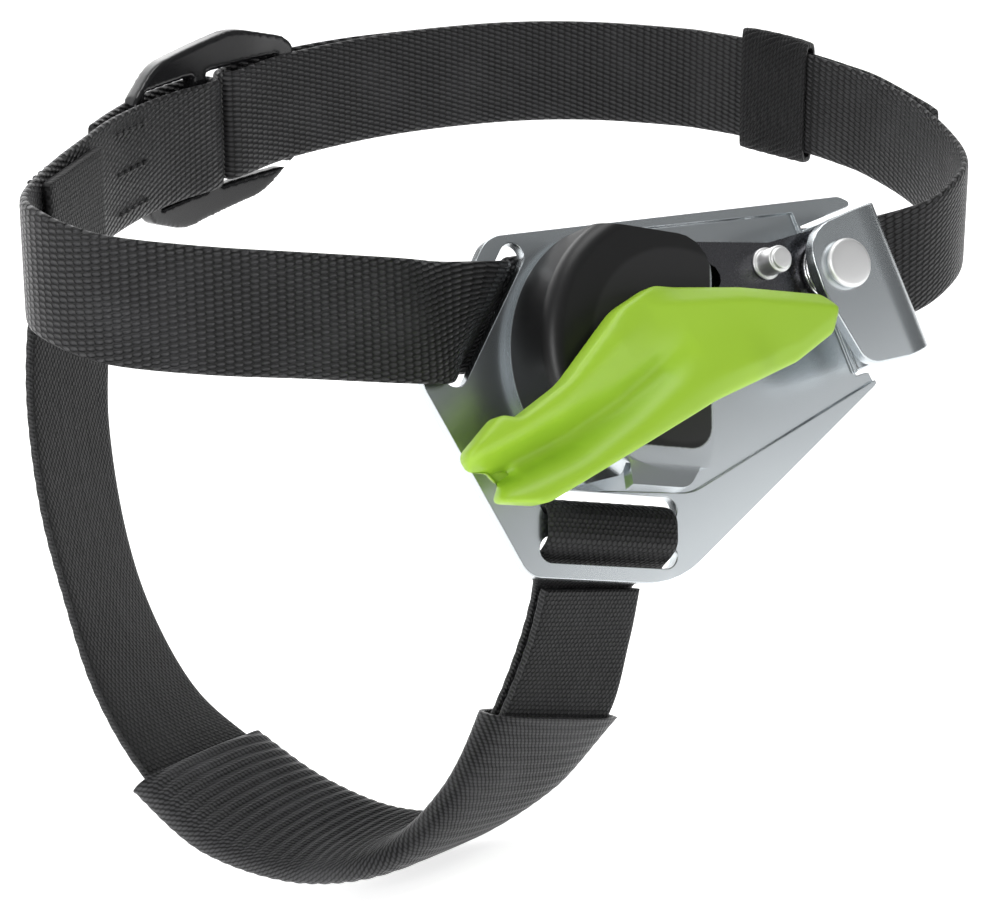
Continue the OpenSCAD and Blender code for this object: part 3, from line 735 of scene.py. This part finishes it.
def inside(poly, q):
    """Which points q lie inside the polygon."""
    x, y = q[:, 0][:, None], q[:, 1][:, None]
    a, b = poly, np.roll(poly, -1, 0)
    cross = ((a[:, 1] > y) != (b[:, 1] > y)) & (
        x < (b[:, 0] - a[:, 0]) * (y - a[:, 1]) / (b[:, 1] - a[:, 1] + 1e-12) + a[:, 0])
    return cross.sum(1) % 2 == 1


def to_line(q, line):
    """Distance from each point to a line of points, and how far along it the nearest place is."""
    best, where = np.full(len(q), 1e9), np.zeros(len(q))
    d, run = np.diff(line, axis=0), 0.0
    for a, v in zip(line[:-1], d):
        t = np.clip(((q - a) @ v) / (v @ v), 0, 1)
        r = np.linalg.norm(q - a - t[:, None] * v, axis=1)
        near = r < best
        best[near] = r[near]
        where[near] = run + t[near] * np.linalg.norm(v)
        run += np.linalg.norm(v)
    return best, where


# Centre lines of the thumb groove and of the ridges above and below it
GROOVE = np.array([(-34, -17.5), (-40, -23), (-46.5, -28.6), (-55.2, -34.6), (-62.1, -38.2), (-70, -42)], float)
UPPER = np.array([(-42.5, -13.5), (-50, -20.5), (-58.5, -29.5), (-65, -34.6), (-71, -38.4)], float)
LOWER = np.array([(-24, -21), (-34, -25.2), (-44.5, -32), (-55, -39.6), (-64, -43.6)], float)
LEVER_T = 5.2
TAB_Z = 5.4
FILLET = 0.8
RIM_INSET = 0.12
GRID_STEP = 0.55


def lever():
    """Moulded grip: a thumb groove runs between two ridges to a notch, and the arm's top edge is bevelled."""
    outline = even(rounded(LEVER_OUTLINE), 0.5)
    lo, hi = outline.min(0), outline.max(0)
    step = GRID_STEP
    gx, gy = np.meshgrid(np.arange(lo[0], hi[0], step), np.arange(lo[1], hi[1], step))
    gx = gx + (np.arange(gx.shape[0])[:, None] % 2) * step / 2
    grid = np.stack([gx.ravel(), gy.ravel()], 1)
    closed = np.vstack([outline, outline[:1]])
    grid = grid[inside(outline, grid)]
    rim, _ = to_line(grid, closed)
    grid = grid[rim > 0.3]
    tangent = np.roll(outline, -1, 0) - np.roll(outline, 1, 0)
    ring = outline + unit(np.stack([-tangent[:, 1], tangent[:, 0]], 1)) * RIM_INSET
    ring = ring[inside(outline, ring)]
    pts = np.vstack([outline, ring, grid])
    loop = list(range(len(outline)))
    co, _, tris, *_ = delaunay_2d_cdt([Vector(p) for p in pts.tolist()], [], [loop], 1, 1e-5)
    q = np.array([list(v) for v in co])
    rim, _ = to_line(q, closed)
    groove, along = to_line(q, GROOVE)
    upper, ridge = to_line(q, UPPER)
    lower, _ = to_line(q, LOWER)
    bell = lambda d, w: np.exp(-(d / w)**2)
    deep = np.clip(along / 30, 0, 1)
    top = LEVER_Z + LEVER_T + 1.3 * bell(upper, 2.8) * np.clip(ridge / 8, 0, 1) + 1.2 * bell(lower, 4.6)
    top -= (1.6 + 3.2 * deep) * bell(groove, 2.5 + 0.7 * deep) * np.clip(along / 7, 0, 1)
    # The outer end falls towards the tip, and the arm thins towards the pivot
    top -= 1.2 * np.clip((-58 - q[:, 0]) / 16, 0, 1)**1.5
    top -= 0.8 * np.clip((q[:, 0] + 24) / 20, 0, 1)**1.5
    # Bevel along the arm's upper edge
    arm = np.clip((q[:, 0] + 44) / 8, 0, 1)
    edge_y = np.interp(q[:, 0], [-44, -24, -7], [-10.2, -7.2, -6.6])
    bevel = np.clip((2.5 - (edge_y - q[:, 1])) / 2.5, 0, 1)
    top -= arm * bevel * 2.6
    low_arm = np.clip((q[:, 0] + 34) / 10, 0, 1)
    edge_low = np.interp(q[:, 0], [-43, -30, -13.5, -6], [-34.8, -26.6, -18.9, -13.4])
    top -= low_arm * np.clip((3.2 - (q[:, 1] - edge_low)) / 3.2, 0, 1) * 0.9
    hole, _ = to_line(q, np.array([(-66.6, -41.4), (-65.2, -40.6)], float))
    top -= 2.0 * bell(hole, 0.9)
    d = np.clip(rim, 0, FILLET)
    top -= FILLET - np.sqrt(np.maximum(FILLET**2 - (FILLET - d)**2, 0))
    tab = np.array(TAB, float)
    in_tab = inside(tab, q)
    tab_rim, _ = to_line(q, np.vstack([tab, tab[:1]]))
    reach = np.where(in_tab, np.clip(tab_rim / 0.9, 0, 1), 0)
    round_in = 1 - np.clip(rim / FILLET, 0, 1)
    bottom = LEVER_Z + FILLET * (1 - np.sqrt(np.clip(1 - round_in**2, 0, 1)))
    bottom = bottom * (1 - reach) + TAB_Z * reach
    n = len(q)
    verts = np.vstack([np.column_stack([q, top]), np.column_stack([q, bottom])])
    faces = []
    edges = {}
    for t in tris:
        t = list(t)
        faces.append(t)
        faces.append([i + n for i in t[::-1]])
        for i in range(3):
            e = (t[i], t[(i + 1) % 3])
            edges[e] = edges.get(e, 0) + 1
    walls = [e for e in edges if (e[1], e[0]) not in edges]
    faces += [[b, a, a + n, b + n] for a, b in walls]
    obj = new_object("lever_grip", to_world(verts), faces)
    soften = obj.modifiers.new("soften", "SMOOTH")
    soften.factor = 0.5
    soften.iterations = 1
    finish_piece(obj, LIME, "lever_plastic", CAM, "lever")


# ---- Buckle ----
def buckle():
    """The CAD frame with its edges rounded: remeshed finely and relaxed."""
    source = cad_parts["buckle"]
    obj = bpy.data.objects.new("buckle_frame", source.data.copy())
    bpy.context.scene.collection.objects.link(obj)
    weld = obj.modifiers.new("weld", "WELD")
    weld.merge_threshold = 1e-6
    fine = obj.modifiers.new("fine", "REMESH")
    fine.mode = "VOXEL"
    fine.voxel_size = 0.35 * MM
    relax = obj.modifiers.new("relax", "SMOOTH")
    relax.factor = 0.5
    relax.iterations = 10
    dg = bpy.context.evaluated_depsgraph_get()
    mesh = bpy.data.meshes.new_from_object(obj.evaluated_get(dg))
    obj.modifiers.clear()
    obj.data = mesh
    mesh.polygons.foreach_set("use_smooth", [True] * len(mesh.polygons))
    finish_piece(obj, GLOSS, "buckle_plastic", FRAME, "buckle")


# ---- Steel parts from the frame ----
def steel_parts():
    """Finishes and small edge bevels (in millimetres) for the CAD solids that stay in sight."""
    for node, material, width in (
        ("frame_plate", PLATE, 0.35), ("rope_channel", PLATE, 0.35), ("folded_ear", PLATE, 0.35),
        ("cam", CAM_STEEL, 0.25), ("cam_bushing", BRASS, 0.1), ("cam_washer", BRIGHT, 0.15),
        ("lever_screws", BRIGHT, 0.15),
    ):
        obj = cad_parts[node]
        obj.data.materials.clear()
        obj.data.materials.append(material)
        weld = obj.modifiers.new("weld", "WELD")
        weld.merge_threshold = 2e-6
        flat = obj.modifiers.new("flat", "DECIMATE")
        flat.decimate_type = "DISSOLVE"
        flat.angle_limit = math.radians(0.4)
        bevel = obj.modifiers.new("edges", "BEVEL")
        bevel.width = width * MM
        bevel.segments = 3
        bevel.limit_method = "ANGLE"
        bevel.angle_limit = math.radians(40)
        shade = obj.modifiers.new("normals", "WEIGHTED_NORMAL")
        shade.weight = 80


# ---- Stage ----
FLOOR_GAP = 0.5
COVE_START = 500
COVE_R = 400
COVE_TOP = 2200
COVE_HALF_W = 2500
FLOOR_GLOW = 0.68
SKY_STRENGTH = 0.42


def stage():
    """Pale floor that curves up into a pale backdrop, under a sky that brightens upwards."""
    floor_z = cad_box[0].z / MM - FLOOR_GAP
    profile = [[y, floor_z] for y in (-1500, -600, 0, COVE_START)]
    profile += [[COVE_START + COVE_R * math.sin(a), floor_z + COVE_R - COVE_R * math.cos(a)]
                for a in np.linspace(0.2, math.pi / 2, 8)]
    profile += [[COVE_START + COVE_R, COVE_TOP]]
    verts = [[x, y, z] for x in (-COVE_HALF_W, COVE_HALF_W) for y, z in profile]
    n = len(profile)
    cove = new_object("floor", verts, [[i + n, i + n + 1, i + 1, i] for i in range(n - 1)])
    s = Surface("pale_floor")
    cloud = s.noise(s.object_mm(), 0.002, 1.0)
    s.set(Base_Color=s.mix(cloud, (0.9, 0.9, 0.9), (0.92, 0.92, 0.92)), Roughness=0.8)
    s.shader.inputs["Emission Color"].default_value = (1, 1, 1, 1)
    s.shader.inputs["Emission Strength"].default_value = FLOOR_GLOW
    cove.data.materials.append(s.material)
    world = bpy.data.worlds.new("studio")
    bpy.context.scene.world = world
    world.use_nodes = True
    tree = world.node_tree
    height = tree.nodes.new("ShaderNodeSeparateXYZ")
    tree.links.new(tree.nodes.new("ShaderNodeTexCoord").outputs["Generated"], height.inputs[0])
    ramp = tree.nodes.new("ShaderNodeValToRGB")
    tree.links.new(height.outputs[2], ramp.inputs[0])
    ramp.color_ramp.elements[0].color = (0.3, 0.31, 0.32, 1)
    ramp.color_ramp.elements[1].color = (0.9, 0.9, 0.9, 1)
    tree.links.new(ramp.outputs[0], tree.nodes["Background"].inputs[0])
    tree.nodes["Background"].inputs[1].default_value = SKY_STRENGTH


def area(name, at, target, size, power):
    """Soft area light; at and target are in millimetres."""
    light = bpy.data.lights.new(name, "AREA")
    light.shape = "RECTANGLE"
    light.size, light.size_y = size[0] * MM, size[1] * MM
    light.energy = power
    obj = bpy.data.objects.new(name, light)
    obj.location = Vector(at) * MM
    obj.rotation_mode = "QUATERNION"
    obj.rotation_quaternion = (Vector(target) - Vector(at)).to_track_quat("-Z", "Y")
    bpy.context.scene.collection.objects.link(obj)


def lights():
    """Places, targets and sizes are in millimetres, and powers in watts."""
    area("key_left", (-620, -420, 200), (-20, -40, -10), (200, 420), 2.0)
    area("plate_card", (430, -560, 60), (20, -50, -10), (320, 260), 0.34)
    area("top_soft", (0, 0, 700), (0, 0, 0), (500, 400), 2.2)
    area("rear_rim", (-100, 560, 360), (0, 0, 0), (500, 300), 0.9)
    bpy.context.scene.view_settings.view_transform = "Standard"


CAMERA_AT = (-169.55, -362.96, 63.36)
CAMERA_AZIMUTH = -28
CAMERA_ELEVATION = 15
CAMERA_LENS = 80.16


def camera():
    """The main view, in front of the part and a little above it."""
    azimuth, elevation = math.radians(CAMERA_AZIMUTH), math.radians(CAMERA_ELEVATION)
    level = math.cos(elevation)
    back = Vector((math.sin(azimuth) * level, -math.cos(azimuth) * level, math.sin(elevation)))
    data = bpy.data.cameras.new("camera")
    data.sensor_width = 36
    data.lens = CAMERA_LENS
    data.clip_start = 0.01
    obj = bpy.data.objects.new("camera", data)
    obj.location = Vector(CAMERA_AT) * MM
    obj.rotation_mode = "QUATERNION"
    obj.rotation_quaternion = (-back).to_track_quat("-Z", "Y")
    bpy.context.scene.collection.objects.link(obj)
    bpy.context.scene.camera = obj


camera()
stage()
lights()
steel_parts()
ankle_straps()
sole_straps()
sleeve()
keeper()
all_stitches()
turned_parts()
spring()
lever()
buckle()
